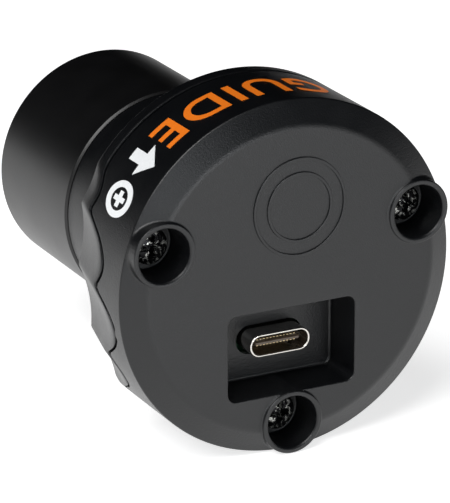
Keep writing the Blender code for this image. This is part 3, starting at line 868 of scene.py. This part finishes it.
# ---------------------------------------------------------------- socket
# USB-C socket: a drawn steel shell with a rolled lip, a dark plastic tongue, gilt contacts on both
# of its faces and two small grounding plates. It stands upright on the main board.
shell_low, shell_high = (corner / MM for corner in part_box("usb_shell"))
SOCKET_W, SOCKET_H, SHELL_THICK, LIP = 8.94, 3.16, 0.3, 0.11
SOCKET_AT = (0.0, SOCKET_Z)


def socket_loop(inset, y):
    height = SOCKET_H - 2 * inset
    return box_loop(SOCKET_W - 2 * inset, height, height * 0.49, y, SOCKET_AT, 12)


NICKEL = brushed_metal("nickel_plate", (0.78, 0.75, 0.70), 0.16)
lip_loops = [(0.0, shell_high.y), (0.0, shell_low.y + LIP)]
lip_loops += [(LIP * (1 - math.cos(math.radians(a))),
               shell_low.y + LIP * (1 - math.sin(math.radians(a)))) for a in (30, 60, 90)]
lip_loops += [(SHELL_THICK - LIP * (1 - math.sin(math.radians(a))),
               shell_low.y + LIP * (1 - math.cos(math.radians(a)))) for a in (0, 30, 60, 90)]
lip_loops += [(SHELL_THICK, shell_high.y)]
usb_shell = loft("drawn_socket_shell", [socket_loop(*step) for step in lip_loops], NICKEL, closed=True)
flatten_shading(usb_shell)
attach(usb_shell, "camera_body")
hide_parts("usb_shell")


def moulded_plastic(name, colour, roughness):
    """Glass-filled moulded plastic of a connector or a chip's case."""
    look = bpy.data.materials.new(name)
    look.use_nodes = True
    tree = look.node_tree
    place = add_node(tree, "TexCoord", {}, {}, "Object")
    grain = add_node(tree, "TexNoise", {}, {"Vector": place, "Scale": 6000.0, "Detail": 3.0})
    flow = add_node(tree, "TexNoise", {}, {"Vector": place, "Scale": 700.0, "Detail": 2.0})
    pale = tuple(1.5 * c for c in colour)
    tone = add_node(tree, "Mix", {"data_type": "RGBA"}, {0: flow, 6: (*colour, 1), 7: (*pale, 1)}, 2)
    bump = add_node(tree, "Bump", {}, {"Height": grain, "Strength": 0.3, "Distance": 0.00003})
    shader = tree.nodes["Principled BSDF"]
    tree.links.new(tone.socket, shader.inputs["Base Color"])
    tree.links.new((roughness + grain * 0.1).socket, shader.inputs["Roughness"])
    tree.links.new(bump.socket, shader.inputs["Normal"])
    return look


TONGUE_PLASTIC = moulded_plastic("tongue_plastic", (0.070, 0.050, 0.034), 0.30)
GILT = brushed_metal("gilt_contacts", (0.90, 0.70, 0.40), 0.26)
tongue_low, tongue_high = (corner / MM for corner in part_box("usb_tongue"))
TONGUE_W, TONGUE_THICK = 6.7, 0.6
tongue_loops = [box_loop(TONGUE_W - 0.3, TONGUE_THICK - 0.3, 0.12, tongue_low.y, SOCKET_AT),
                box_loop(TONGUE_W, TONGUE_THICK, 0.12, tongue_low.y + 0.3, SOCKET_AT),
                box_loop(TONGUE_W, TONGUE_THICK, 0.12, tongue_high.y - 1.3, SOCKET_AT),
                box_loop(7.9, 2.2, 1.0, tongue_high.y - 1.3, SOCKET_AT),
                box_loop(7.9, 2.2, 1.0, tongue_high.y, SOCKET_AT)]
tongue = loft("moulded_tongue", tongue_loops, TONGUE_PLASTIC)
flatten_shading(tongue)
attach(tongue, "camera_body")
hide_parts("usb_tongue")
for side in ("upper", "lower"):
    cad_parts[f"usb_contacts_{side}"].material_slots[0].material = GILT
for number, x in enumerate((-2.43, 2.43), 1):
    plate = loft(f"ground_plate_{number}", [
        box_loop(1.3 - out, 0.10 - out, 0.02, y, (x, SOCKET_Z + TONGUE_THICK / 2 + 0.04), 2)
        for out, y in ((0.04, tongue_low.y + 0.5), (0.0, tongue_low.y + 0.54),
                       (0.0, tongue_low.y + 0.95), (0.04, tongue_low.y + 0.99))], NICKEL)
    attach(plate, "camera_body")


# ---------------------------------------------------------------- sensor
# Image sensor in its ceramic package under a cover glass, behind a flocked mask. The silicon's
# light-sensitive field has an oily blue-green shimmer inside a plain dark border.
def sensor_silicon():
    look = bpy.data.materials.new("sensor_silicon")
    look.use_nodes = True
    tree = look.node_tree
    place = add_node(tree, "TexCoord", {}, {}, "Object")
    cells = add_node(tree, "TexChecker", {}, {"Vector": place, "Scale": 9000.0}, "Fac")
    sheen = add_node(tree, "TexNoise", {}, {"Vector": place, "Scale": 60.0, "Detail": 1.0})
    tone = add_node(tree, "Mix", {"data_type": "RGBA"},
                    {0: sheen, 6: (0.012, 0.030, 0.040, 1), 7: (0.040, 0.026, 0.060, 1)}, 2)
    bump = add_node(tree, "Bump", {}, {"Height": cells, "Strength": 0.2, "Distance": 0.00002})
    shader = tree.nodes["Principled BSDF"]
    tree.links.new(tone.socket, shader.inputs["Base Color"])
    tree.links.new((0.12 + sheen * 0.1).socket, shader.inputs["Roughness"])
    tree.links.new(bump.socket, shader.inputs["Normal"])
    shader.inputs["Metallic"].default_value = 0.4
    return look


CERAMIC = moulded_plastic("sensor_ceramic", (0.20, 0.19, 0.175), 0.5)
COVER_GLASS = coated_glass("cover_glass", (0.93, 0.96, 0.95))
for node, look in (("sensor_package", CERAMIC), ("sensor_die", sensor_silicon()),
                   ("sensor_glass", COVER_GLASS), ("sensor_mask", RUBBER)):
    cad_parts[node].material_slots[0].material = look


# ---------------------------------------------------------------- boards
# Two round circuit boards in dark green solder mask, with the chips, a can and an inductor on the
# rear one. A board-to-board connector joins them, and zinc-plated screws hold them.
def solder_mask():
    """Green lacquer over copper tracks, which show as slightly raised paler lines."""
    look = bpy.data.materials.new("solder_mask")
    look.use_nodes = True
    tree = look.node_tree
    place = add_node(tree, "TexCoord", {}, {}, "Object")
    tracks = add_node(tree, "TexBrick", {}, {"Vector": place, "Scale": 600.0,
                                             "Mortar Size": 0.03}, "Fac")
    weave = add_node(tree, "TexNoise", {}, {"Vector": place, "Scale": 1500.0, "Detail": 2.0})
    tone = add_node(tree, "Mix", {"data_type": "RGBA"},
                    {0: tracks * 0.7, 6: (0.010, 0.055, 0.022, 1), 7: (0.030, 0.120, 0.045, 1)}, 2)
    bump = add_node(tree, "Bump", {}, {"Height": tracks + weave * 0.2, "Strength": 0.4,
                                       "Distance": 0.00004})
    shader = tree.nodes["Principled BSDF"]
    tree.links.new(tone.socket, shader.inputs["Base Color"])
    tree.links.new((0.25 + weave * 0.15).socket, shader.inputs["Roughness"])
    tree.links.new(bump.socket, shader.inputs["Normal"])
    return look


SOLDER_MASK = solder_mask()
CHIP_EPOXY = moulded_plastic("chip_epoxy", (0.010, 0.010, 0.011), 0.45)
ZINC = brushed_metal("zinc_plate", (0.60, 0.61, 0.62), 0.22)
board_looks = {
    SOLDER_MASK: ("sensor_board", "main_board"),
    CHIP_EPOXY: ("controller_chip", "memory_chip", "flash_chip", "regulator_chip", "power_inductor",
                 "link_socket", "link_plug"),
    ZINC: ("crystal_can", *(f"board_screw_{n}" for n in range(1, 5)),
           *(f"sensor_screw_{n}" for n in range(1, 4)))}
for look, nodes in board_looks.items():
    for node in nodes:
        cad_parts[node].material_slots[0].material = look
